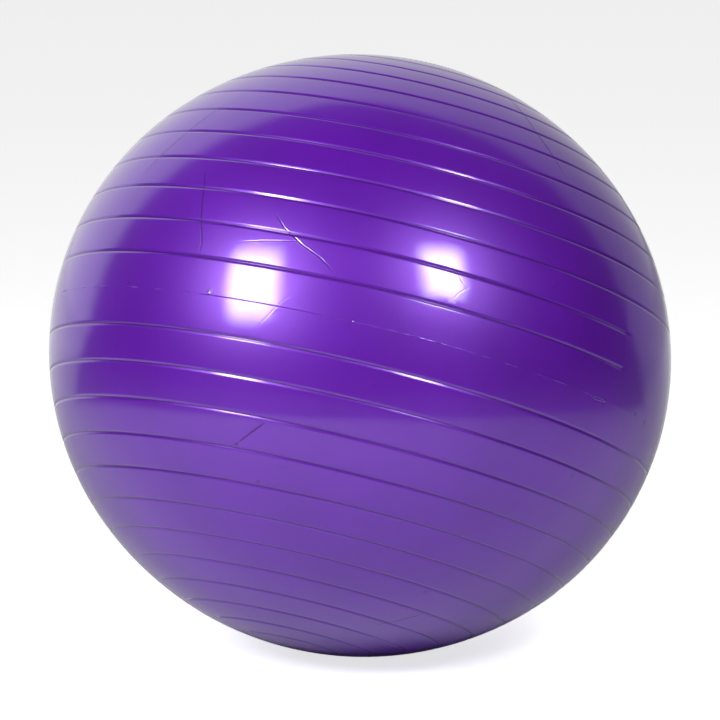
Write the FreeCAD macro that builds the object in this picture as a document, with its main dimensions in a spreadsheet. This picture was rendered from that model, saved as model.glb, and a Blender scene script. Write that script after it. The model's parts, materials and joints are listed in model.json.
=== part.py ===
"""Exercise ball, 75 cm: a one-piece hollow skin with ring grooves, a moulded-in valve seat, a push-in plug.

Units are millimetres and degrees. The ball stands on the XY plane, on the flat that its weight presses into
it, with its centre over the origin. Each piece is built in its own frame and then placed:
  ball frame   Z along the axis of the ring grooves, X through the middle of the smooth window,
               zero at the ball's centre;
  valve frame  Z into the ball, zero where the valve's axis meets the outside of the skin.
"""
import FreeCAD, Part
import Sketcher
import math
import os

doc = FreeCAD.newDocument("exercise_ball")
Vector, Placement, Rotation = FreeCAD.Vector, FreeCAD.Placement, FreeCAD.Rotation

# ---------------------------------------------------------------- driving sizes
SIZES = [
    # the ball
    ("ball_width", 750.0, "across the widest ring"),
    ("ball_depth", 723.6, "from pole to pole along the groove axis"),
    ("skin_wall", 0.7, "thickness of the inflated skin"),
    ("floor_sink", 2.8, "how far the ball's weight presses its underside flat"),
    ("axis_lean", 22.26, "groove axis away from upright"),
    ("axis_heading", 53.3, "where the groove axis leans to, from X towards Y"),
    ("window_turn", -49.8, "turn of the smooth window about the groove axis"),
    ("shoulder_angle", 45.0, "where the round of the waist meets the round of the poles"),
    # the ring grooves
    ("grooves_above", 13, "grooves above the parting line"),
    ("grooves_below", 12, "grooves below the parting line"),
    ("groove_width", 5.5, "from lip to lip"),
    ("groove_depth", 0.75, "at the middle of the groove"),
    ("parting_drop", 22.7, "parting line below the widest ring, along the skin"),
    ("pole_land", 56.8, "smooth skin between the lowest groove and its pole"),
    ("pitch_taper", 0.077, "how much closer the last grooves are than the first, as a share"),
    # the smooth window that interrupts the first grooves above the parting line
    ("window_grooves", 2, "grooves that the window interrupts"),
    ("window_angle", 80.0, "length of the window around the axis"),
    ("groove_end_wall", 1.0, "skin left across the blunt end of a groove"),
    # the thickened ring of skin that holds the valve seat
    ("boss_width", 40.0, "outside of the ring"),
    ("boss_depth", 5.2, "from the outside of the skin to the ring's back"),
    ("cutter_reach", 5.0, "how far the cutting tools run past what they cut"),
    # the valve seat
    ("seat_sink", 0.4, "seat's face below the crown of the skin"),
    ("flange_width", 30.0, "seat's flange"),
    ("flange_thick", 3.4, "seat's flange"),
    ("tube_width", 16.0, "outside of the seat's tube"),
    ("seat_length", 27.0, "from the seat's face to the end of its tube"),
    ("bore_width", 9.0, "hole that the air goes through"),
    ("bore_lead", 0.8, "chamfer at the mouth of the bore"),
    ("recess_depth", 2.3, "recess for the plug's head"),
    # the plug
    ("head_width", 21.0, "plug's head"),
    ("head_gap", 0.3, "between the head's rim and its recess"),
    ("head_edge", 0.6, "chamfer around the head"),
    ("stem_width", 7.0, "stem between its barbs"),
    ("stem_length", 29.0, "from under the head to the tip"),
    ("tip_round", 1.6, "chamfer at the tip"),
    ("barb_count", 5, "rings of barb along the stem"),
    ("barb_gap", 0.08, "between a barb and the bore"),
    ("barb_start", 3.2, "from under the head to the first barb"),
    ("barb_pitch", 4.4, "from barb to barb"),
    ("barb_land", 0.5, "flat at the top of a barb"),
    ("barb_length", 2.8, "from the barb's shoulder to where its taper ends"),
]

sheet = doc.addObject("Spreadsheet::Sheet", "Sizes")
for row, (alias, value, note) in enumerate(SIZES, start=1):
    sheet.set(f"A{row}", note)
    sheet.set(f"B{row}", str(value))
    sheet.setAlias(f"B{row}", alias)
doc.recompute()


def size(alias):
    return float(sheet.get(alias))


# ---------------------------------------------------------------- meridian of the ball
# The meridian is an oval: one round at the waist and one at each pole, tangent where their normals reach
# shoulder_angle. A place on it is its travel, the distance along the outside from the widest ring.
SHOULDER = math.radians(size("shoulder_angle"))
FLATTENING = (size("ball_width") - size("ball_depth")) / 2
WAIST_OFFSET = FLATTENING / (1 + math.tan(SHOULDER) - 1 / math.cos(SHOULDER))
WAIST_RADIUS = size("ball_width") / 2 - WAIST_OFFSET
POLE_OFFSET = WAIST_OFFSET * math.tan(SHOULDER)
POLE_RADIUS = size("ball_depth") / 2 + POLE_OFFSET
SHOULDER_TRAVEL = WAIST_RADIUS * SHOULDER
POLE_TRAVEL = SHOULDER_TRAVEL + POLE_RADIUS * (math.pi / 2 - SHOULDER)


def normal_angle(travel):
    """Angle of the outward normal above the widest ring."""
    past_shoulder = max(abs(travel) - SHOULDER_TRAVEL, 0)
    angle = (abs(travel) - past_shoulder) / WAIST_RADIUS + past_shoulder / POLE_RADIUS
    return math.copysign(angle, travel)


def on_meridian(travel, inset=0.0):
    """The point at this travel, moved inwards by inset."""
    angle = normal_angle(travel)
    if abs(travel) <= SHOULDER_TRAVEL:
        centre = Vector(WAIST_OFFSET, 0, 0)
        radius = WAIST_RADIUS - inset
    else:
        centre = Vector(0, 0, -math.copysign(POLE_OFFSET, travel))
        radius = POLE_RADIUS - inset
    return centre + Vector(math.cos(angle), 0, math.sin(angle)) * radius


def arc_edge(start, middle, end):
    return Part.Arc(start, middle, end).toShape()


def skin_edge(start, end, inset):
    """Plain skin between two travels on the same round."""
    middle = on_meridian((start + end) / 2, inset)
    return arc_edge(on_meridian(start, inset), middle, on_meridian(end, inset))


# ---------------------------------------------------------------- ring grooves
GROOVE_ROUND = (size("groove_width") ** 2 / 4 + size("groove_depth") ** 2) / (2 * size("groove_depth"))


def groove_runs(count):
    """Distances of the first grooves from the parting line, nearest first."""
    fitted = int(size("grooves_below"))
    mean = (POLE_TRAVEL - size("parting_drop") - size("pole_land")) / fitted
    tapers = [size("pitch_taper") * (0.5 - number / (fitted - 1)) for number in range(count)]
    return [mean * (number + 1 + sum(tapers[: number + 1])) for number in range(count)]


def groove_half(inset):
    """Half of the groove's width on a surface that lies inset below the outside."""
    return math.sqrt((GROOVE_ROUND + inset) ** 2 - (GROOVE_ROUND - size("groove_depth") + inset) ** 2)


def groove_edge(travel, inset):
    half = groove_half(inset)
    bottom = on_meridian(travel, inset + size("groove_depth"))
    return arc_edge(on_meridian(travel - half, inset), bottom, on_meridian(travel + half, inset))


ABOVE = [run - size("parting_drop") for run in groove_runs(int(size("grooves_above")))]
BELOW = [-run - size("parting_drop") for run in groove_runs(int(size("grooves_below")))]


def grooved_face(inset):
    """Half section of the whole ball, with every groove, inset below the outside."""
    half = groove_half(inset)
    edges, here = [], -POLE_TRAVEL
    grooves = sorted(ABOVE + BELOW)
    shoulders = [
        shoulder
        for shoulder in (-SHOULDER_TRAVEL, SHOULDER_TRAVEL)
        if all(abs(shoulder - travel) > half for travel in grooves)
    ]
    for stop in sorted(grooves + shoulders + [POLE_TRAVEL]):
        end = stop - half if stop in grooves else stop
        edges.append(skin_edge(here, end, inset))
        here = end
        if stop in grooves:
            edges.append(groove_edge(stop, inset))
            here = stop + half
    edges.append(Part.makeLine(on_meridian(POLE_TRAVEL, inset), on_meridian(-POLE_TRAVEL, inset)))
    return Part.Face(Part.Wire(edges))


def filling_face(travel, inset):
    """Section of what fills a groove up to the plain skin."""
    half = groove_half(inset)
    return Part.Face(Part.Wire([skin_edge(travel - half, travel + half, inset), groove_edge(travel, inset)]))


# ---------------------------------------------------------------- document helpers
def section(name, face):
    feature = doc.addObject("Part::Feature", name)
    feature.Shape = face
    return feature


def revolved(name, face, angle):
    """The section turned about the groove axis, evenly to both sides of X; angle is an expression."""
    turned = doc.addObject("Part::Revolution", name)
    turned.Source = section(name + "_section", face)
    turned.Axis = Vector(0, 0, 1)
    turned.Base = Vector(0, 0, 0)
    turned.Symmetric = True
    turned.Solid = True
    turned.setExpression("Angle", angle)
    return turned


def fused(name, pieces):
    fuse = doc.addObject("Part::MultiFuse", name)
    fuse.Shapes = pieces
    return fuse


def cut(name, base, tool):
    result = doc.addObject("Part::Cut", name)
    result.Base = base
    result.Tool = tool
    return result


def in_sheet(expression):
    """The same expression with each of the sheet's words written as its cell."""
    aliases = {alias for alias, _, _ in SIZES}
    return " ".join("Sizes." + word if word in aliases else word for word in expression.split())


def origin_plane(body, role):
    return next(feature for feature in body.Origin.OriginFeatures if feature.Role == role)


def turned_body(name, outline):
    """A body turned about Z through corners at (radius, depth), each an expression in the sheet's words."""
    body = doc.addObject("PartDesign::Body", name)
    sketch = body.newObject("Sketcher::SketchObject", name + "_outline")
    sketch.AttachmentSupport = (origin_plane(body, "XZ_Plane"), [""])
    sketch.MapMode = "FlatFace"
    last = len(outline) - 1
    corners = [Vector(10 + corner, 10 + corner**2, 0) for corner in range(last + 1)]
    for corner in range(last + 1):
        following = corner + 1 if corner < last else 0
        sketch.addGeometry(Part.LineSegment(corners[corner], corners[following]), False)
    for corner in range(last + 1):
        following = corner + 1 if corner < last else 0
        sketch.addConstraint(Sketcher.Constraint("Coincident", corner, 2, following, 1))
    for corner, (radius, depth) in enumerate(outline):
        if radius == ON_AXIS:
            sketch.addConstraint(Sketcher.Constraint("PointOnObject", corner, 1, -2))
        else:
            bind(sketch, "DistanceX", corner, corners[corner].x, radius)
        bind(sketch, "DistanceY", corner, corners[corner].y, depth)
    turn = body.newObject("PartDesign::Revolution", name + "_turn")
    turn.Profile = sketch
    turn.ReferenceAxis = (sketch, ["V_Axis"])
    turn.Angle = 360
    return body


def bind(sketch, kind, corner, value, expression):
    """Hold a corner's distance from the origin at an expression."""
    number = sketch.addConstraint(Sketcher.Constraint(kind, -1, 1, corner, 1, value))
    sketch.setExpression(f"Constraints[{number}]", in_sheet(expression))


ON_AXIS = "on axis"

# ---------------------------------------------------------------- where the ball and its valve lie
LEAN = math.radians(size("axis_lean"))
CENTRE_HEIGHT = POLE_RADIUS - POLE_OFFSET * math.cos(LEAN) - size("floor_sink")
BALL_PLACE = Placement(
    Vector(0, 0, CENTRE_HEIGHT),
    Rotation(Vector(0, 0, 1), size("axis_heading"))
    * Rotation(Vector(0, 1, 0), size("axis_lean"))
    * Rotation(Vector(0, 0, 1), size("window_turn")),
)
interrupted = ABOVE[: int(size("window_grooves"))]
next_groove = ABOVE[int(size("window_grooves"))]
VALVE_TRAVEL = (next_groove - size("parting_drop")) / 2
inward = Rotation(Vector(0, 1, 0), -90 - math.degrees(normal_angle(VALVE_TRAVEL)))
VALVE_PLACE = BALL_PLACE * Placement(on_meridian(VALVE_TRAVEL), inward)

# ---------------------------------------------------------------- ball_shell
# Outside and air space are the same half section at two insets. In the window the interrupted grooves are
# filled up again, the air space's over a shorter angle, which leaves a wall across each groove's blunt end.
END_LAG = f"2 * {math.degrees(1 / WAIST_RADIUS)} * groove_end_wall"


def ball_solid(name, inset, window):
    whole = revolved(name + "_grooved", grooved_face(inset), "360")
    pieces = [whole]
    for number, travel in enumerate(interrupted):
        filling = filling_face(travel, inset)
        pieces.append(revolved(f"{name}_filling_{number}", filling, in_sheet(window)))
    solid = fused(name + "_round", pieces)
    solid.Placement = BALL_PLACE
    floor = doc.addObject("Part::Box", name + "_floor")
    for side, length in (("Length", "ball_width"), ("Width", "ball_width"), ("Height", "ball_depth")):
        floor.setExpression(side, in_sheet(length))
    half = size("ball_width") / 2
    floor.Placement.Base = Vector(-half, -half, inset - size("ball_depth"))
    return cut(name, solid, floor)


def valve_tool(name, width, depth):
    """A round tool on the valve's axis, from outside the skin down to a depth."""
    tool = doc.addObject("Part::Cylinder", name)
    tool.setExpression("Radius", in_sheet(width) + " / 2")
    tool.setExpression("Height", in_sheet(depth + " + cutter_reach"))
    tool.Placement = VALVE_PLACE * Placement(Vector(0, 0, -size("cutter_reach")), Rotation())
    return tool


outside = ball_solid("outside", 0, "window_angle")
air = ball_solid("air", size("skin_wall"), "window_angle - " + END_LAG)
boss = valve_tool("boss", "boss_width", "boss_depth")
flange_seat = valve_tool("flange_seat", "flange_width", "seat_sink + flange_thick")
tube_hole = valve_tool("tube_hole", "tube_width", "boss_depth + cutter_reach")
hollow = fused("hollow", [cut("air_beside_boss", air, boss), flange_seat, tube_hole])
ball_shell = cut("ball_shell", outside, hollow)

# ---------------------------------------------------------------- valve_seat
recess_floor = "seat_sink + recess_depth"
recess_radius = "head_width / 2 + head_gap"
valve_seat = turned_body("valve_seat", [
    (recess_radius, "seat_sink"),
    ("flange_width / 2", "seat_sink"),
    ("flange_width / 2", "seat_sink + flange_thick"),
    ("tube_width / 2", "seat_sink + flange_thick"),
    ("tube_width / 2", "seat_sink + seat_length"),
    ("bore_width / 2", "seat_sink + seat_length"),
    ("bore_width / 2", recess_floor + " + bore_lead"),
    ("bore_width / 2 + bore_lead", recess_floor),
    (recess_radius, recess_floor),
])
valve_seat.Placement = VALVE_PLACE

# ---------------------------------------------------------------- valve_plug
stem_radius = "stem_width / 2"
barb_radius = "bore_width / 2 - barb_gap"
plug_outline = [
    (ON_AXIS, "seat_sink"),
    ("head_width / 2 - head_edge", "seat_sink"),
    ("head_width / 2", "seat_sink + head_edge"),
    ("head_width / 2", recess_floor),
]
for number in range(int(size("barb_count"))):
    shoulder = f"{recess_floor} + barb_start + {number} * barb_pitch"
    plug_outline += [
        (stem_radius, recess_floor if number == 0 else previous_end),
        (stem_radius, shoulder),
        (barb_radius, shoulder),
        (barb_radius, shoulder + " + barb_land"),
    ]
    previous_end = shoulder + " + barb_length"
plug_outline += [
    (stem_radius, previous_end),
    (stem_radius, recess_floor + " + stem_length - tip_round"),
    (stem_radius + " - tip_round", recess_floor + " + stem_length"),
    (ON_AXIS, recess_floor + " + stem_length"),
]
valve_plug = turned_body("valve_plug", plug_outline)
valve_plug.Placement = VALVE_PLACE

# ---------------------------------------------------------------- check and write
doc.recompute()
failed = [feature.Name for feature in doc.Objects if {"Invalid", "Error"} & set(feature.State)]
if failed:
    raise RuntimeError("these features failed: " + ", ".join(failed))
os.makedirs("parts", exist_ok=True)
for piece in (ball_shell, valve_seat, valve_plug):
    piece.Label = piece.Name
    if piece.Shape.isNull() or not piece.Shape.isValid():
        raise RuntimeError(piece.Label + " has no valid shape")
    piece.Shape.exportStep(f"parts/{piece.Label}.step")
    print(piece.Label, "volume", round(piece.Shape.Volume / 1000, 2), "cm3")
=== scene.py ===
"""Exercise ball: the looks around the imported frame, as an add-on. Lengths are metres, angles radians.

The skin is built in the ball's own frame, with Z along the axis of its ring grooves and X through the middle
of the smooth window. The valve's pieces are built in the valve's frame, with Z into the ball. A place on the
skin is its longitude about the axis and its travel, the distance along the skin from the widest ring.
"""
import json
import math

import bmesh
import bpy
from bpy.props import FloatProperty, FloatVectorProperty, IntProperty, PointerProperty
from mathutils import Matrix, Vector, noise


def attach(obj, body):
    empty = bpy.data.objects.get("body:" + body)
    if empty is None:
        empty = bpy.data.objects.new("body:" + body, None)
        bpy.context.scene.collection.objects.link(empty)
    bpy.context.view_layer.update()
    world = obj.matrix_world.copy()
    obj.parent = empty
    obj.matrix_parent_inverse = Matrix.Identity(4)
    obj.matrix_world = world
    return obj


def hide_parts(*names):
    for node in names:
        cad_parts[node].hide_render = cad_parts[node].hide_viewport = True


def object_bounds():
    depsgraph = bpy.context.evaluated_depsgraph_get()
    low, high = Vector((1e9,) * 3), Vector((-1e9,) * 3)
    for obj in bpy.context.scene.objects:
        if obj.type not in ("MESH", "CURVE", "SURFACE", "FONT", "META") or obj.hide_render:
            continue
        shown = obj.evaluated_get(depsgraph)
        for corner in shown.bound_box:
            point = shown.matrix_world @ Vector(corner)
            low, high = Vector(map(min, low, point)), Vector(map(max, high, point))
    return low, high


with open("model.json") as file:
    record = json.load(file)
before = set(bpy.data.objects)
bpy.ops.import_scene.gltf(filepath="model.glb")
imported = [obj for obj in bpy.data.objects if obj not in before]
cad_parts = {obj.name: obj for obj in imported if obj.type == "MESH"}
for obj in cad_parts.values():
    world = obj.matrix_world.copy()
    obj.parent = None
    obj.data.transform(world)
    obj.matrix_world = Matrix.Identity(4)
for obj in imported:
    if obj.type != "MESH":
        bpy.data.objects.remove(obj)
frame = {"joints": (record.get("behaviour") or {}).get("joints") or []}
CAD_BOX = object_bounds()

bl_info = {
    "name": "Exercise ball",
    "version": (1, 0, 0),
    "blender": (4, 5, 0),
    "location": "View3D > Sidebar > Exercise ball",
    "description": "Builds a grooved exercise ball, its valve seat and its plug around a packed frame",
    "category": "Add Mesh",
}
MM = 0.001


# ------------------------------------------------------------------------------------------ properties
def length(name, description, millimetres):
    metres = millimetres * MM
    return FloatProperty(
        name=name, description=description, default=metres, unit="LENGTH", subtype="DISTANCE", precision=5
    )


def angle(name, description, degrees):
    radians = math.radians(degrees)
    return FloatProperty(
        name=name, description=description, default=radians, unit="ROTATION", subtype="ANGLE"
    )


def count(name, description, default):
    return IntProperty(name=name, description=description, default=default, min=1)


def number(name, description, default):
    return FloatProperty(name=name, description=description, default=default)


def srgb(code):
    """Linear red, green and blue of an sRGB hex colour."""
    parts = [int(code[at : at + 2], 16) / 255 for at in (1, 3, 5)]
    return [part / 12.92 if part <= 0.04045 else ((part + 0.055) / 1.055) ** 2.4 for part in parts]


def colour(name, description, code):
    return FloatVectorProperty(
        name=name, description=description, default=srgb(code), subtype="COLOR", size=3
    )


class BallSizes(bpy.types.PropertyGroup):
    width: length("Width", "Across the widest ring", 750)
    depth: length("Depth", "From pole to pole along the groove axis", 723.6)
    shoulder: angle("Shoulder", "Where the round of the waist meets the round of the poles", 45)
    floor_sink: length("Floor sink", "How far the ball's weight presses its underside flat", 2.8)
    lean: angle("Lean", "Groove axis away from upright", 22.26)
    heading: angle("Heading", "Where the groove axis leans to, from X towards Y", 53.3)
    window_turn: angle("Window turn", "Turn of the smooth window about the groove axis", -49.8)
    grooves_above: count("Grooves above", "Ring grooves above the parting line", 13)
    grooves_below: count("Grooves below", "Ring grooves below the parting line", 12)
    groove_width: length("Groove width", "From lip to lip", 5.5)
    groove_depth: length("Groove depth", "Of the groove's easy shoulders", 0.7)
    middle_depth: length("Middle depth", "Of the sharper middle below the shoulders", 0.5)
    middle_share: number("Middle share", "Width of the sharper middle, as a share of the groove's", 0.42)
    lip_round: length("Lip round", "Softness of a groove's lips", 0.1)
    parting_drop: length("Parting drop", "Parting line below the widest ring, along the skin", 22.7)
    pole_land: length("Pole land", "Smooth skin between the lowest groove and its pole", 56.8)
    pitch_taper: number("Pitch taper", "Share by which the last grooves are closer than the first", 0.077)
    window_angle: angle("Window angle", "Length of the smooth window around the axis", 80)
    window_grooves: count("Window grooves", "Grooves that the window interrupts", 2)
    groove_end: angle("Groove end", "Angle over which an interrupted groove runs out", 0.45)
    flash_height: length("Flash height", "Moulding flash that stands proud along the parting line", 0.8)
    flash_width: length("Flash width", "Foot of the moulding flash", 1.1)
    inner_wall: length("Inner wall", "From the outside of the skin to its plain inner face at the valve", 5.2)
    ripple: length("Ripple", "Unevenness of the inflated skin", 0.18)


class ValveSizes(bpy.types.PropertyGroup):
    seat_sink: length("Seat sink", "Seat's face below the crown of the skin", 0.4)
    flange_width: length("Flange width", "Outside of the seat's flange", 30)
    flange_thick: length("Flange thickness", "Thickness of the seat's flange", 3.4)
    tube_width: length("Tube width", "Outside of the seat's tube", 16)
    seat_length: length("Seat length", "From the seat's face to the end of its tube", 27)
    bore_width: length("Bore width", "Hole that the air goes through", 9)
    bore_lead: length("Bore lead", "Chamfer at the mouth of the bore", 0.8)
    recess_depth: length("Recess depth", "Recess for the plug's head", 2.3)
    head_width: length("Head width", "Plug's head", 21)
    head_gap: length("Head gap", "Between the head's rim and its recess", 0.3)
    stem_width: length("Stem width", "Plug's stem between its barbs", 7)
    stem_length: length("Stem length", "From under the plug's head to its tip", 29)
    barb_count: count("Barbs", "Rings of barb along the stem", 5)
    barb_gap: length("Barb gap", "Between a barb and the bore", 0.08)
    barb_start: length("Barb start", "From under the head to the first barb", 3.2)
    barb_pitch: length("Barb pitch", "From barb to barb", 4.4)
    barb_land: length("Barb land", "Flat at the top of a barb", 0.5)
    barb_length: length("Barb length", "From a barb's shoulder to where its taper ends", 2.8)
    tip_chamfer: length("Tip chamfer", "Chamfer at the end of the plug's stem", 1.6)
    edge_round: length("Edge round", "Rounding of moulded edges", 0.25)


class Finishes(bpy.types.PropertyGroup):
    ball_colour: colour("Ball", "Purple vinyl of the skin", "#640fae")
    seat_colour: colour("Seat", "Purple vinyl of the valve seat", "#5d0ea2")
    plug_colour: colour("Plug", "White plastic of the plug", "#efeeea")
    floor_colour: colour("Floor", "Pale floor", "#f4f4f4")


class StageSizes(bpy.types.PropertyGroup):
    camera_distance: length("Camera distance", "From the camera to the ball's centre", 6000)
    camera_rise: angle("Camera rise", "Camera's angle above the level", 9)
    camera_drop: length("Camera drop", "How far below the ball's centre the camera aims", 6.6)
    camera_lens: number("Lens", "Focal length for a 36 mm sensor", 248.9)
    floor_side: length("Floor side", "Side of the floor", 60000)


# ------------------------------------------------------------------------------------------ shape of the ball
GROOVE_REACH = 1.4  # from a groove's middle to where its softened lips have died out, in half widths
FLASH_BREAKS = 28  # waves of noise per radian of longitude that break the moulding flash up
FLASH_ROW = 3.7  # where in the noise the breaks are read
FLASH_FILL, FLASH_GAIN = 0.12, 2.2  # how much of the line stands, and how steeply it ends
STEADY_FLASH_START = (math.radians(-124), math.radians(-122))  # where an unbroken length fades in
STEADY_FLASH_END = (math.radians(-96), math.radians(-99))  # where it fades out
STEADY_FLASH_SHARE = 0.55  # of the flash's full height


def smoothstep(low, high, value):
    share = min(max((value - low) / (high - low), 0.0), 1.0)
    return share * share * (3 - 2 * share)


class Skin:
    """The outside of the ball: an oval of one round at the waist and one at each pole, and its grooves."""

    def __init__(self, sizes):
        self.sizes = sizes
        flattening = (sizes.width - sizes.depth) / 2
        self.waist_offset = flattening / (1 + math.tan(sizes.shoulder) - 1 / math.cos(sizes.shoulder))
        self.waist_radius = sizes.width / 2 - self.waist_offset
        self.pole_offset = self.waist_offset * math.tan(sizes.shoulder)
        self.pole_radius = sizes.depth / 2 + self.pole_offset
        self.shoulder_travel = self.waist_radius * sizes.shoulder
        self.pole_travel = self.shoulder_travel + self.pole_radius * (math.pi / 2 - sizes.shoulder)
        self.above = [run - sizes.parting_drop for run in self.groove_runs(sizes.grooves_above)]
        self.below = [-run - sizes.parting_drop for run in self.groove_runs(sizes.grooves_below)]
        self.interrupted = self.above[: sizes.window_grooves]

    def groove_runs(self, wanted):
        """Distances of the first grooves from the parting line, nearest first."""
        fitted = self.sizes.grooves_below
        mean = (self.pole_travel - self.sizes.parting_drop - self.sizes.pole_land) / fitted
        tapers = [self.sizes.pitch_taper * (0.5 - step / (fitted - 1)) for step in range(wanted)]
        return [mean * (step + 1 + sum(tapers[: step + 1])) for step in range(wanted)]

    def point(self, travel, inset=0.0, longitude=0.0):
        """The point at this travel and longitude, moved inwards by inset."""
        beyond = max(abs(travel) - self.shoulder_travel, 0)
        rise = (abs(travel) - beyond) / self.waist_radius + beyond / self.pole_radius
        if beyond > 0:
            out = (self.pole_radius - inset) * math.cos(rise)
            up = (self.pole_radius - inset) * math.sin(rise) - self.pole_offset
        else:
            out = self.waist_offset + (self.waist_radius - inset) * math.cos(rise)
            up = (self.waist_radius - inset) * math.sin(rise)
        return Vector((out * math.cos(longitude), out * math.sin(longitude), math.copysign(up, travel)))

    def whereabouts(self, place):
        """Longitude, travel and distance from the axis of a point near the skin."""
        out = math.hypot(place.x, place.y)
        rise = math.atan2(abs(place.z), out - self.waist_offset)
        travel = rise * self.waist_radius
        if rise > self.sizes.shoulder:
            rise = math.atan2(abs(place.z) + self.pole_offset, out)
            travel = self.shoulder_travel + (rise - self.sizes.shoulder) * self.pole_radius
        return math.atan2(place.y, place.x), math.copysign(travel, place.z), out

    def outside_window(self, longitude):
        """Angle past the nearer end of the smooth window."""
        return abs(longitude) - self.sizes.window_angle / 2

    def groove(self, travel, longitude):
        """Depth of the groove here: easy shoulders and a sharper middle, with blunt ends at the window."""
        sizes = self.sizes
        nearest = min(self.below + self.above, key=lambda groove: abs(travel - groove))
        across = abs(travel - nearest) / (sizes.groove_width / 2)
        if across > GROOVE_REACH:
            return 0.0
        shoulder = sizes.groove_depth * (1 - across * across)
        shoulder = (shoulder + math.hypot(shoulder, sizes.lip_round)) / 2
        middle = max(1 - across / sizes.middle_share, 0.0)
        depth = shoulder + sizes.middle_depth * middle * min(1.0, 0.7 + middle)  # easier where it starts
        if nearest in self.interrupted:
            depth *= smoothstep(0.0, sizes.groove_end, self.outside_window(longitude))
        return depth

    def flash(self, travel, longitude):
        """Height of the broken moulding flash along the parting line, up to the window."""
        across = abs(travel + self.sizes.parting_drop) / (self.sizes.flash_width / 2)
        if across > 1:
            return 0.0
        wave = noise.noise(Vector((longitude * FLASH_BREAKS, FLASH_ROW, 0.0)))
        broken = max(wave + FLASH_FILL, 0.0) * FLASH_GAIN
        steady = smoothstep(*STEADY_FLASH_START, longitude) * smoothstep(*STEADY_FLASH_END, longitude)
        height = self.sizes.flash_height * max(min(broken, 1.0), STEADY_FLASH_SHARE * steady)
        return height * (1 - across) * smoothstep(-0.02, 0.02, self.outside_window(longitude))

    def place(self):
        """Matrix from the ball's frame to the row's frame."""
        sizes = self.sizes
        centre = self.pole_radius - self.pole_offset * math.cos(sizes.lean) - sizes.floor_sink
        turn = Matrix.Rotation(sizes.heading, 4, "Z") @ Matrix.Rotation(sizes.lean, 4, "Y")
        return Matrix.Translation((0, 0, centre)) @ turn @ Matrix.Rotation(sizes.window_turn, 4, "Z")


def valve_place():
    """Matrix from the valve's frame to the row's frame, from the joint that the plug slides on."""
    joint = next(joint for joint in frame["joints"] if joint["name"] == "plug_pull")
    inward = -Vector(joint["axis"]).normalized()
    return Matrix.Translation(joint["pos_m"]) @ inward.to_track_quat("Z", "Y").to_matrix().to_4x4()


# ------------------------------------------------------------------------------------------ mesh helpers
FULL_TURN = (2 * math.pi, 96)
MERGE_DISTANCE = 0.02 * MM


def finished_object(name, mesh_data, place):
    """An object at the origin from a bmesh, moved to its place, with its faces outward and smooth."""
    mesh_data.transform(place)
    bmesh.ops.recalc_face_normals(mesh_data, faces=mesh_data.faces)
    if mesh_data.calc_volume(signed=True) < 0:
        bmesh.ops.reverse_faces(mesh_data, faces=mesh_data.faces)
    for face in mesh_data.faces:
        face.smooth = True
    mesh = bpy.data.meshes.new(name)
    mesh_data.to_mesh(mesh)
    mesh_data.free()
    piece = bpy.data.objects.new(name, mesh)
    bpy.context.scene.collection.objects.link(piece)
    return piece


def strand(mesh_data, points, closed=False):
    """Vertices joined by edges in a row, as an outline to turn."""
    verts = [mesh_data.verts.new(point) for point in points]
    ends = verts[1:] + verts[:1] if closed else verts[1:]
    edges = [mesh_data.edges.new(pair) for pair in zip(verts, ends)]
    return verts + edges


def turned(mesh_data, outline, sweeps):
    """The outline spun once round Z, in sweeps of (angle, steps), and closed on itself and at the axis."""
    whole = len(sweeps) == 1
    for sweep, steps in sweeps:
        spun = bmesh.ops.spin(
            mesh_data, geom=outline, cent=(0, 0, 0), axis=(0, 0, 1), angle=sweep, steps=steps, use_merge=whole
        )
        outline = spun["geom_last"]
    bmesh.ops.remove_doubles(mesh_data, verts=mesh_data.verts, dist=MERGE_DISTANCE)


# ------------------------------------------------------------------------------------------ ball_shell
PANEL_STEP = 10 * MM  # along the plain skin between two grooves
HALF_GROOVE = (0.12, 0.36, 0.45, 0.68, 0.94, 1.06, 1.3)  # outline points from its middle, in half widths
FLASH_POINTS = (-1.6, -1.0, 0.0, 1.0, 1.6)  # outline points across the moulding flash, in half widths
WINDOW_STEPS = 34  # steps of the spin over the smooth window
END_STEPS = 3  # over the end of an interrupted groove
REST_STEPS = 120  # over the rest of the ball
INNER_STEPS = 48  # from pole to pole along the plain inner face


def outline_travels(skin):
    """Travel of each point along the outline, from the lower pole to the upper."""
    sizes = skin.sizes
    half, foot = sizes.groove_width / 2, sizes.flash_width / 2
    stops = [-skin.pole_travel, skin.pole_travel]
    stops += [share * foot - sizes.parting_drop for share in FLASH_POINTS]
    for groove in skin.below + skin.above:
        for share in HALF_GROOVE:
            stops += [groove - share * half, groove + share * half]
    stops.sort()
    between = []
    for low, high in zip(stops, stops[1:]):
        steps = math.ceil((high - low) / PANEL_STEP)
        between += [low + (high - low) * step / steps for step in range(1, steps)]
    return sorted(stops + between)


def outer_skin(skin):
    """The plain outside, turned in four sweeps so that the interrupted grooves end within a short angle."""
    sizes = skin.sizes
    mesh_data = bmesh.new()
    start = -sizes.window_angle / 2
    outline = [skin.point(travel, 0.0, start) for travel in outline_travels(skin)]
    rest = 2 * math.pi - sizes.window_angle - 2 * sizes.groove_end
    sweeps = [
        (sizes.window_angle, WINDOW_STEPS),
        (sizes.groove_end, END_STEPS),
        (rest, REST_STEPS),
        (sizes.groove_end, END_STEPS),
    ]
    turned(mesh_data, strand(mesh_data, outline), sweeps)
    return mesh_data


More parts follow.
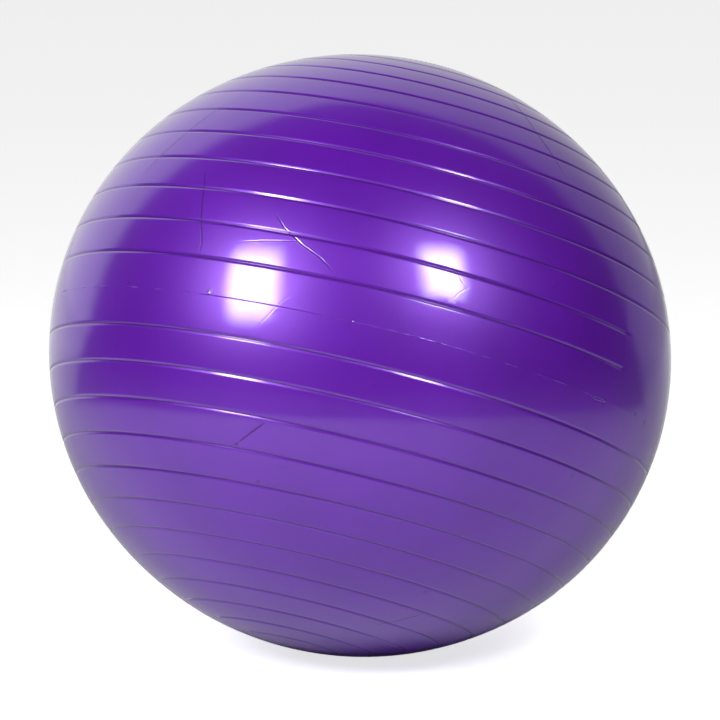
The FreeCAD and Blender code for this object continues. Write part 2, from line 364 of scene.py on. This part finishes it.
class Mark:
    """A fold, scratch or nib in the skin, along places of (longitude in degrees, travel in mm)."""

    def __init__(self, height, width, places):
        self.height, self.width = height * MM, width * MM
        self.places = [(math.radians(longitude), travel * MM) for longitude, travel in places]
        self.reach = 3.2 * self.width  # where its shoulders have died out
        self.longitudes = [longitude for longitude, travel in self.places]
        self.travels = [travel for longitude, travel in self.places]

    def near(self, longitude, travel, out, margin=0.0):
        """Distance across the mark and the share along it, or None when it's out of reach."""
        reach = self.reach + margin
        turn = reach / max(out, 10 * MM)
        if not min(self.travels) - reach < travel < max(self.travels) + reach:
            return None
        if not min(self.longitudes) - turn < longitude < max(self.longitudes) + turn:
            return None
        best = None
        for step, (start, end) in enumerate(zip(self.places, self.places[1:])):
            along = Vector(((end[0] - start[0]) * out, end[1] - start[1]))
            offset = Vector(((longitude - start[0]) * out, travel - start[1]))
            share = min(max(offset.dot(along) / along.length_squared, 0.0), 1.0)
            distance = (offset - along * share).length
            if distance < reach and (best is None or distance < best[0]):
                best = (distance, (step + share) / (len(self.places) - 1))
        return best

    def lift(self, longitude, travel, out):
        """Height added to the skin: a crest or valley with a softer shoulder of the other sign each side."""
        found = self.near(longitude, travel, out)
        if found is None:
            return 0.0
        across, share = found[0] / self.width, found[1]
        is_line = len(self.places) > 2
        ends = smoothstep(0.0, 0.25, share) * smoothstep(1.0, 0.75, share) if is_line else 1.0
        shoulder = 0.4 * math.exp(-(((across - 1.7) / 0.7) ** 2))
        return self.height * ends * (math.exp(-across * across) - shoulder)


# Each mark is a height and a width in mm, and its places.
FOLDS = (  # creases left by folding the ball into its box
    Mark(-0.30, 0.8, ((-115, 88), (-112, 69), (-108, 53), (-104, 41), (-101, 27))),
    Mark(-0.10, 0.6, ((-121, 42), (-115, 50), (-109, 56), (-106, 47))),
    Mark(-0.30, 0.8, ((-114, -188), (-111, -171), (-108, -154))),
    Mark(-0.20, 0.8, ((-134, 146), (-131, 104), (-129, 67), (-127, 37), (-127, 14))),
    Mark(-0.24, 0.7, ((-141, 262), (-146, 178), (-151, 110))),
    Mark(-0.34, 0.7, ((-58, 425), (-58, 318), (-54, 236))),
    Mark(-0.22, 0.8, ((-61, -420), (-54, -388), (-49, -355))),
    Mark(-0.05, 1.2, ((-91, -105), (-89, -72), (-87, -46))),
)
SCRATCHES = (  # scuffs, and last a curl of flash at the end of the parting line
    Mark(-0.12, 0.5, ((-84, 33), (-82, 51), (-80, 63), (-79, 54), (-77, 43))),
    Mark(-0.10, 0.5, ((-80, 29), (-79, 40), (-77, 52))),
    Mark(-0.10, 0.6, ((-62, 74), (-60, 85), (-59, 94))),
    Mark(-0.08, 0.5, ((-27, 201), (-24, 196), (-21, 190))),
    Mark(-0.08, 0.5, ((-106, -214), (-103, -203), (-100, -196))),
    Mark(-0.09, 0.5, ((-113, -55), (-109, -16), (-105, 7))),
    Mark(0.10, 0.5, ((-62, 188), (-69, 150), (-75, 112))),
    Mark(0.10, 0.6, ((-91, -21), (-94, -42), (-96, -63))),
    Mark(0.12, 0.6, ((-64, -110), (-63, -115), (-62, -120))),
    Mark(0.12, 0.6, ((-116, -142), (-115, -130), (-114, -139))),
    Mark(0.10, 0.6, ((-89, 0), (-88, -10), (-88, -20))),
    Mark(0.55, 0.6, ((-48, -22), (-46, -26), (-43, -24), (-43, -16))),
)
NIB_PLACES = (  # specks of vinyl, most of them on the parting line
    (-123, -20), (-142, -17), (-96, -22), (-114, -189), (-109, -230),
    (-58, -326), (-32, -20), (-27, -22), (-44, -118),
)
NIBS = tuple(Mark(0.6, 0.9, ((turn, travel), (turn, travel - 0.5))) for turn, travel in NIB_PLACES)
MARKS = FOLDS + SCRATCHES + NIBS


EDGE_LIMITS = (6.0 * MM, 3.0 * MM, 1.5 * MM, 0.8 * MM)  # edges longer than these are halved, round by round
FINEST_ON_FLASH = 2 * MM  # the moulding flash needs no smaller edges than this
SLOW_RIPPLE, QUICK_RIPPLE = 9.0, 21.0  # waves per metre in the inflated skin
QUICK_SHIFT = Vector((4.0, 7.0, 1.0))  # keeps the two ripples out of step
SHADED_GROOVE = (0.75 * MM, 1.15 * MM)  # depths between which a groove's walls turn from unshaded to full painted shade
SHADED_FOLD = (0.02 * MM, 0.15 * MM)  # the same for a fold
FOLD_SHADE = 0.8  # painted shade in a fold, as a share of a groove's


def refine(skin, mesh_data):
    """Smaller faces along the marks and the parting line, so that they can be shaped."""
    for limit in EDGE_LIMITS:
        picked = []
        for edge in mesh_data.edges:
            size = edge.calc_length()
            if size < limit:
                continue
            longitude, travel, out = skin.whereabouts((edge.verts[0].co + edge.verts[1].co) / 2)
            on_flash = abs(travel + skin.sizes.parting_drop) < skin.sizes.flash_width
            if on_flash and limit > FINEST_ON_FLASH:
                picked.append(edge)
            elif any(mark.near(longitude, travel, out, size / 2) for mark in MARKS):
                picked.append(edge)
        bmesh.ops.subdivide_edges(mesh_data, edges=picked, cuts=1, use_grid_fill=True)


def shape_skin(skin, mesh_data):
    """Move every vertex to the height of the skin at its place, and note how much painted shade that place
    gets.
    """
    shade = mesh_data.verts.layers.float.new("shade")
    for vert in mesh_data.verts:
        longitude, travel, out = skin.whereabouts(vert.co)
        wave = noise.noise(vert.co * SLOW_RIPPLE) + 0.5 * noise.noise(vert.co * QUICK_RIPPLE + QUICK_SHIFT)
        groove = skin.groove(travel, longitude)
        marked = sum(mark.lift(longitude, travel, out) for mark in MARKS)
        height = wave * skin.sizes.ripple + skin.flash(travel, longitude) + marked - groove
        vert.co = skin.point(travel, -height, longitude)
        # painted shade: darkest in the deep bottoms of grooves, a little less in folds
        vert[shade] = max(smoothstep(*SHADED_GROOVE, groove), FOLD_SHADE * smoothstep(*SHADED_FOLD, -marked))


def press_flat(mesh_data):
    """Flatten the underside where the ball's weight rests; the mesh is in the row's frame."""
    for vert in mesh_data.verts:
        vert.co.z = max(vert.co.z, 0.0)


def cut_with(piece, tool):
    """Take the tool's shape out of the piece and delete the tool."""
    modifier = piece.modifiers.new("cut", "BOOLEAN")
    modifier.operation = "DIFFERENCE"
    modifier.solver = "EXACT"
    modifier.object = tool
    graph = bpy.context.evaluated_depsgraph_get()
    mesh = bpy.data.meshes.new_from_object(piece.evaluated_get(graph))
    piece.modifiers.clear()
    old = piece.data
    piece.data = mesh
    mesh.name = piece.name
    bpy.data.meshes.remove(old)
    bpy.data.meshes.remove(tool.data)


def inner_face(skin):
    """The plain inside of the skin, as a solid of air to cut away."""
    mesh_data = bmesh.new()
    travels = [skin.pole_travel * (2 * step / INNER_STEPS - 1) for step in range(INNER_STEPS + 1)]
    outline = [skin.point(travel, skin.sizes.inner_wall) for travel in travels]
    turned(mesh_data, strand(mesh_data, outline), [FULL_TURN])
    return mesh_data


def valve_hole(valve):
    """What the seat takes out of the skin: the flange's round and the tube's."""
    mesh_data = bmesh.new()
    above, below = -6 * MM, 9 * MM  # well clear of the skin on both sides
    floor = valve.seat_sink + valve.flange_thick
    flange, tube = valve.flange_width / 2, valve.tube_width / 2
    corners = [(0, above), (flange, above), (flange, floor), (tube, floor), (tube, below), (0, below)]
    turned(mesh_data, strand(mesh_data, [(radius, 0, depth) for radius, depth in corners]), [FULL_TURN])
    return mesh_data


def make_ball_shell(skin, valve):
    mesh_data = outer_skin(skin)
    refine(skin, mesh_data)
    shape_skin(skin, mesh_data)
    mesh_data.transform(skin.place())
    press_flat(mesh_data)
    shell = finished_object("vinyl_skin", mesh_data, Matrix.Identity(4))
    cut_with(shell, finished_object("air", inner_face(skin), skin.place()))
    cut_with(shell, finished_object("hole", valve_hole(valve), valve_place()))
    shell.data.set_sharp_from_angle(angle=math.radians(50))
    return shell


# ------------------------------------------------------------------------------------------ valve pieces
def turned_piece(name, corners, place, round_by):
    """A moulded piece turned through corners at (radius, depth), with its edges rounded."""
    mesh_data = bmesh.new()
    on_axis = corners[0][0] == 0
    outline = strand(mesh_data, [(radius, 0, depth) for radius, depth in corners], closed=not on_axis)
    turned(mesh_data, outline, [FULL_TURN])
    corner = math.radians(25)
    sharp = [edge for edge in mesh_data.edges if edge.is_manifold and edge.calc_face_angle(0) > corner]
    bmesh.ops.bevel(
        mesh_data, geom=sharp, offset=round_by, segments=3, affect="EDGES", profile=0.5, material=-1,
        clamp_overlap=True,
    )
    piece = finished_object(name, mesh_data, place)
    piece.data.set_sharp_from_angle(angle=math.radians(40))
    return piece


def make_valve_seat(valve):
    floor = valve.seat_sink + valve.recess_depth
    flange_back = valve.seat_sink + valve.flange_thick
    end = valve.seat_sink + valve.seat_length
    recess, bore = valve.head_width / 2 + valve.head_gap, valve.bore_width / 2
    corners = [
        (recess, valve.seat_sink),
        (valve.flange_width / 2, valve.seat_sink),
        (valve.flange_width / 2, flange_back),
        (valve.tube_width / 2, flange_back),
        (valve.tube_width / 2, end),
        (bore, end),
        (bore, floor + valve.bore_lead),
        (bore + valve.bore_lead, floor),
        (recess, floor),
    ]
    return turned_piece("seat_moulding", corners, valve_place(), valve.edge_round)


def make_valve_plug(valve):
    under = valve.seat_sink + valve.recess_depth
    stem, barb = valve.stem_width / 2, valve.bore_width / 2 - valve.barb_gap
    head, tip = valve.head_width / 2, under + valve.stem_length
    corners = [(0, valve.seat_sink), (head, valve.seat_sink), (head, under), (stem, under)]
    for step in range(valve.barb_count):
        start = under + valve.barb_start + step * valve.barb_pitch
        corners += [(stem, start), (barb, start)]
        corners += [(barb, start + valve.barb_land), (stem, start + valve.barb_length)]
    corners += [(stem, tip - valve.tip_chamfer), (stem - valve.tip_chamfer, tip), (0, tip)]
    return turned_piece("plug_moulding", corners, valve_place(), valve.edge_round)


# ------------------------------------------------------------------------------------------ materials
SMOOTH = {"interpolation_type": "SMOOTHSTEP"}
CLOUD_SIZE = 111 * MM  # cloudy depths of colour, where the moulded wall is thicker or thinner
CLOUD_DEPTH = (0.8, 1.2)  # of the vinyl's colour, from one cloud to the next
PAINTED_SHADE_TONE = 0.2  # painted shade: the share of the vinyl's colour left in the bottoms of grooves and folds
SHADED_GLOSS_LOSS = 0.15  # how much of the gloss is lost there, with the painted shade
SWELL_SIZE = 16.7 * MM  # slow waves that the mould's polish leaves in the gloss
SWELL_HEIGHT = 0.02 * MM
GRAIN_SIZE = 0.55 * MM  # grain of the plug's spark-eroded mould, coarser than the real one so that it shows
GRAIN_HEIGHT = 0.03 * MM


def feed(tree, node, inputs):
    """Set a node's inputs, by name or in order, to values or links; a node stands for its first output."""
    for key, value in inputs.items() if isinstance(inputs, dict) else enumerate(inputs):
        if isinstance(value, bpy.types.Node):
            value = value.outputs[0]
        if isinstance(value, bpy.types.NodeSocket):
            tree.links.new(value, node.inputs[key])
        else:
            node.inputs[key].default_value = value


def add_node(tree, kind, inputs=(), **settings):
    """A shader node with its settings made and its inputs fed."""
    node = tree.nodes.new(kind)
    for name, value in settings.items():
        setattr(node, name, value)
    feed(tree, node, inputs)
    return node


def new_material(name):
    """A material, its tree and its Principled shader."""
    material = bpy.data.materials.new(name)
    material.use_nodes = True
    return material, material.node_tree, material.node_tree.nodes["Principled BSDF"]


def glossy_vinyl(name, tint):
    """Plasticised vinyl, moulded in a polished shell: a clear gloss over a faintly pearly body.

    The wall's thickness varies, which shows as cloudy depths of colour. The bottoms of the grooves and folds,
    where the shade attribute is 1, get painted shade and lose a little gloss.
    """
    material, tree, body = new_material(name)
    place = add_node(tree, "ShaderNodeTexCoord").outputs["Object"]
    shade = add_node(tree, "ShaderNodeAttribute", attribute_name="shade").outputs["Fac"]

    clouds = add_node(tree, "ShaderNodeTexNoise", {"Vector": place, "Scale": 1 / CLOUD_SIZE, "Detail": 4.0})
    unshaded = add_node(tree, "ShaderNodeMapRange", (clouds, 0, 1, *CLOUD_DEPTH))
    # painted shade: the colour darkens and the coat thins where the shade attribute is high
    tone = add_node(tree, "ShaderNodeMapRange", (shade, 0, 1, unshaded, PAINTED_SHADE_TONE))
    colour_here = add_node(tree, "ShaderNodeVectorMath", {"Vector": tint, "Scale": tone}, operation="SCALE")
    coat = add_node(tree, "ShaderNodeMath", (shade, -SHADED_GLOSS_LOSS, 1.0), operation="MULTIPLY_ADD")

    swell = add_node(tree, "ShaderNodeTexNoise", {"Vector": place, "Scale": 1 / SWELL_SIZE, "Detail": 3.0})
    waves = add_node(tree, "ShaderNodeBump", {"Strength": 1.0, "Distance": SWELL_HEIGHT, "Height": swell})
    look = {
        "Base Color": colour_here,
        "Metallic": 0.35,
        "Roughness": 0.4,
        "Specular IOR Level": 0.7,
        "Coat Weight": coat,
        "Coat Roughness": 0.05,
        "Coat IOR": 1.5,
        "Normal": waves,
        "Coat Normal": waves,
    }
    feed(tree, body, look)
    return material


def moulded_plastic(name, tint):
    """Low-density polyethylene, injected in a steel mould: satin, with the faint grain of the tool."""
    material, tree, body = new_material(name)
    place = add_node(tree, "ShaderNodeTexCoord").outputs["Object"]
    pattern = add_node(tree, "ShaderNodeTexNoise", {"Vector": place, "Scale": 1 / GRAIN_SIZE, "Detail": 2.0})
    grain = add_node(tree, "ShaderNodeBump", {"Distance": GRAIN_HEIGHT, "Height": pattern})
    feed(tree, body, {"Base Color": (*tint, 1), "Roughness": 0.35, "Normal": grain})
    return material


def matt_board(name, tint, glow):
    """Matt painted board that never falls darker than its glow."""
    material, tree, body = new_material(name)
    look = {
        "Base Color": (*tint, 1),
        "Roughness": 0.9,
        "Specular IOR Level": 0.0,
        "Emission Color": (*tint, 1),
        "Emission Strength": glow,
    }
    feed(tree, body, look)
    return material


def pool_of_light(name, tint):
    """Matt board with a painted pool of light: pale round the ball and behind it, dimmer to the right, and
    dark beyond, with a painted glow where it is pale.
    """
    material = matt_board(name, tint, 0.0)
    tree = material.node_tree
    place = add_node(tree, "ShaderNodeTexCoord").outputs["Object"]
    across, depth = add_node(tree, "ShaderNodeSeparateXYZ", (place,)).outputs[:2]
    away = add_node(tree, "ShaderNodeVectorMath", (place,), operation="LENGTH").outputs["Value"]
    bearing = add_node(tree, "ShaderNodeMath", (depth, away), operation="DIVIDE")

    behind = add_node(tree, "ShaderNodeMapRange", (bearing, 0.42, 0.55, 0, 1), **SMOOTH)
    around = add_node(tree, "ShaderNodeMapRange", (away, 1.75, 1.35, 0, 1), **SMOOTH)
    dimmer = add_node(tree, "ShaderNodeMapRange", (across, 0.2, 2.5, 1, 0.4), **SMOOTH)
    pale = add_node(tree, "ShaderNodeMath", (behind, around), operation="MAXIMUM")
    pale = add_node(tree, "ShaderNodeMath", (pale, dimmer), operation="MULTIPLY")
    tone = add_node(tree, "ShaderNodeMapRange", (pale, 0, 1, 0.15, 0.75))

    near_glow = add_node(tree, "ShaderNodeMapRange", (away, 0.3, 1.2, 0, 0.12), **SMOOTH)
    far_glow = add_node(tree, "ShaderNodeMapRange", (depth, 0.5, 3.0, 0, 0.6), **SMOOTH)
    glow = add_node(tree, "ShaderNodeMath", (near_glow, far_glow), operation="ADD")
    glow = add_node(tree, "ShaderNodeMath", (glow, pale), operation="MULTIPLY")
    board = add_node(tree, "ShaderNodeVectorMath", {"Vector": tint, "Scale": tone}, operation="SCALE")
    feed(tree, tree.nodes["Principled BSDF"], {"Base Color": board, "Emission Strength": glow})
    return material


# ------------------------------------------------------------------------------------------ stage
SOFTBOXES = (
    # name, direction from the ball's centre, metres away, width, height, roll in degrees, watts
    ("softbox_left", (-0.58, -0.64, 0.496), 3.0, 1.3, 1.7, 12, 200),
    ("softbox_right", (0.457, -0.66, 0.575), 3.2, 1.2, 1.5, -14, 145),
)
ROOM_LIGHT, BACKDROP_LIGHT = 0.01, 0.9
COVE_RADIUS, COVE_BEND, COVE_HEIGHT = 12.0, 2.0, 9.0  # flat floor, its bend and the top of its wall
FLOOR_GLOW = 0.8  # keeps the floor pale where the softboxes don't reach


def hot_centre(light):
    """A softbox's face is brightest in the middle and falls away towards its rounded edges."""
    light.use_nodes = True
    tree = light.node_tree
    face = add_node(tree, "ShaderNodeNewGeometry").outputs["Parametric"]
    powers = []
    for along in add_node(tree, "ShaderNodeSeparateXYZ", (face,)).outputs[:2]:
        centred = add_node(tree, "ShaderNodeMath", (along, 2.0, -1.0), operation="MULTIPLY_ADD")
        distance = add_node(tree, "ShaderNodeMath", (centred,), operation="ABSOLUTE")
        powers.append(add_node(tree, "ShaderNodeMath", (distance, 4.0), operation="POWER"))
    both = add_node(tree, "ShaderNodeMath", powers, operation="ADD")
    radius = add_node(tree, "ShaderNodeMath", (both, 0.25), operation="POWER")
    strength = add_node(tree, "ShaderNodeMapRange", (radius, 1.0, 0.25, 0, 1), **SMOOTH)
    feed(tree, tree.nodes["Emission"], {"Strength": strength})


def add_softbox(name, toward, away, width, height, roll, watts):
    """A rectangular softbox that looks at the ball's centre from a direction."""
    light = bpy.data.lights.new(name, "AREA")
    light.shape = "RECTANGLE"
    light.size, light.size_y = width, height
    light.energy = watts
    hot_centre(light)
    lamp = bpy.data.objects.new(name, light)
    direction = Vector(toward).normalized()
    turn = Matrix.Rotation(math.radians(roll), 3, "Z").to_quaternion()
    lamp.location = (CAD_BOX[0] + CAD_BOX[1]) / 2 + direction * away
    lamp.rotation_euler = (direction.to_track_quat("Z", "Y") @ turn).to_euler()
    bpy.context.scene.collection.objects.link(lamp)


def light_tent():
    """A dim studio all round and a bright backdrop behind the ball, up to the top of the tent."""
    world = bpy.data.worlds.new("studio")
    bpy.context.scene.world = world
    world.use_nodes = True
    tree = world.node_tree
    toward = add_node(tree, "ShaderNodeTexCoord").outputs["Generated"]
    across, depth, up = add_node(tree, "ShaderNodeSeparateXYZ", (toward,)).outputs

    behind = add_node(tree, "ShaderNodeMapRange", (depth, 0.40, 0.56, 0, 1), **SMOOTH)
    under_top = add_node(tree, "ShaderNodeMapRange", (up, 0.90, 0.80, 0, 1), **SMOOTH)
    dimmer = add_node(tree, "ShaderNodeMapRange", (across, -0.5, 0.8, 1, 0.35), **SMOOTH)
    backdrop = add_node(tree, "ShaderNodeMath", (behind, under_top), operation="MULTIPLY")
    backdrop = add_node(tree, "ShaderNodeMath", (backdrop, dimmer), operation="MULTIPLY")
    strengths = (backdrop, BACKDROP_LIGHT, ROOM_LIGHT)
    strength = add_node(tree, "ShaderNodeMath", strengths, operation="MULTIPLY_ADD")
    feed(tree, tree.nodes["Background"], {"Color": (1, 1, 1, 1), "Strength": strength})


def stage_sheet(name, mesh_data, material, for_camera):
    """A sheet of the stage that either the camera sees or the ball does."""
    sheet = finished_object(name, mesh_data, Matrix.Identity(4))
    sheet.data.materials.append(material)
    sheet.visible_camera = for_camera
    sheet.visible_diffuse = sheet.visible_glossy = not for_camera
    sheet.visible_shadow = False


def make_floor(stage, finishes):
    """A pale cove all round, which the camera sees, and the lit sheet in it that the ball mirrors."""
    cove = bmesh.new()
    profile = [(0, 0, 0)]
    for step in range(16):
        turn = math.radians(6 * step)
        profile.append((COVE_RADIUS + COVE_BEND * math.sin(turn), 0, COVE_BEND * (1 - math.cos(turn))))
    profile.append((COVE_RADIUS + COVE_BEND, 0, COVE_HEIGHT))
    turned(cove, strand(cove, profile), [FULL_TURN])
    stage_sheet("floor", cove, matt_board("pale_floor", finishes.floor_colour, FLOOR_GLOW), for_camera=True)
    pool = bmesh.new()
    bmesh.ops.create_grid(pool, x_segments=1, y_segments=1, size=stage.floor_side / 2)
    bmesh.ops.translate(pool, verts=pool.verts, vec=(0, 0, -MM))
    stage_sheet("pool", pool, pool_of_light("lit_sheet", finishes.floor_colour), for_camera=False)


def add_camera(stage):
    camera_data = bpy.data.cameras.new("camera")
    camera_data.lens = stage.camera_lens
    camera = bpy.data.objects.new("camera", camera_data)
    centre = Vector((0, 0, (CAD_BOX[0].z + CAD_BOX[1].z) / 2))
    back = Vector((0, -math.cos(stage.camera_rise), math.sin(stage.camera_rise)))
    camera.location = centre + back * stage.camera_distance
    aim = centre - Vector((0, 0, stage.camera_drop)) - camera.location
    camera.rotation_euler = aim.to_track_quat("-Z", "Y").to_euler()
    bpy.context.scene.collection.objects.link(camera)
    bpy.context.scene.camera = camera


def make_stage(stage, finishes):
    make_floor(stage, finishes)
    for softbox in SOFTBOXES:
        add_softbox(*softbox)
    light_tent()
    add_camera(stage)
    bpy.context.scene.view_settings.view_transform = "Standard"


# ------------------------------------------------------------------------------------------ operators
class BALL_OT_skin(bpy.types.Operator):
    """Build the grooved vinyl skin"""

    bl_idname = "exercise_ball.skin"
    bl_label = "Ball skin"

    def execute(self, context):
        scene = context.scene
        shell = make_ball_shell(Skin(scene.ball_sizes), scene.valve_sizes)
        shell.data.materials.append(glossy_vinyl("ball_vinyl", scene.ball_finishes.ball_colour))
        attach(shell, "ball")
        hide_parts("ball_shell")
        return {"FINISHED"}


class BALL_OT_valve(bpy.types.Operator):
    """Build the valve seat and its plug"""

    bl_idname = "exercise_ball.valve"
    bl_label = "Valve seat and plug"

    def execute(self, context):
        scene = context.scene
        seat = make_valve_seat(scene.valve_sizes)
        seat.data.materials.append(glossy_vinyl("seat_vinyl", scene.ball_finishes.seat_colour))
        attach(seat, "ball")
        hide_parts("valve_seat")
        plug = make_valve_plug(scene.valve_sizes)
        plug.data.materials.append(moulded_plastic("plug_plastic", scene.ball_finishes.plug_colour))
        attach(plug, "plug")
        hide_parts("valve_plug")
        return {"FINISHED"}


class BALL_OT_stage(bpy.types.Operator):
    """Build the floor, the lights and the camera"""

    bl_idname = "exercise_ball.stage"
    bl_label = "Stage"

    def execute(self, context):
        make_stage(context.scene.ball_stage, context.scene.ball_finishes)
        return {"FINISHED"}


class BALL_PT_panel(bpy.types.Panel):
    """Lists the ball's pieces and their sizes"""

    bl_idname = "BALL_PT_panel"
    bl_label = "Exercise ball"
    bl_space_type = "VIEW_3D"
    bl_region_type = "UI"
    bl_category = "Exercise ball"

    def draw(self, context):
        for operator in (BALL_OT_skin, BALL_OT_valve, BALL_OT_stage):
            self.layout.operator(operator.bl_idname)
        for name in GROUPS:
            group = getattr(context.scene, name)
            box = self.layout.box()
            for field in group.bl_rna.properties[2:]:  # past rna_type and name
                box.prop(group, field.identifier)


GROUPS = {
    "ball_sizes": BallSizes,
    "valve_sizes": ValveSizes,
    "ball_finishes": Finishes,
    "ball_stage": StageSizes,
}
CLASSES = (*GROUPS.values(), BALL_OT_skin, BALL_OT_valve, BALL_OT_stage, BALL_PT_panel)


def register():
    for entry in CLASSES:
        bpy.utils.register_class(entry)
    for name, group in GROUPS.items():
        setattr(bpy.types.Scene, name, PointerProperty(type=group))


def unregister():
    for name in GROUPS:
        delattr(bpy.types.Scene, name)
    for entry in reversed(CLASSES):
        bpy.utils.unregister_class(entry)


def main():
    register()
    bpy.ops.exercise_ball.skin()
    bpy.ops.exercise_ball.valve()
    bpy.ops.exercise_ball.stage()


if __name__ == "__main__":
    main()
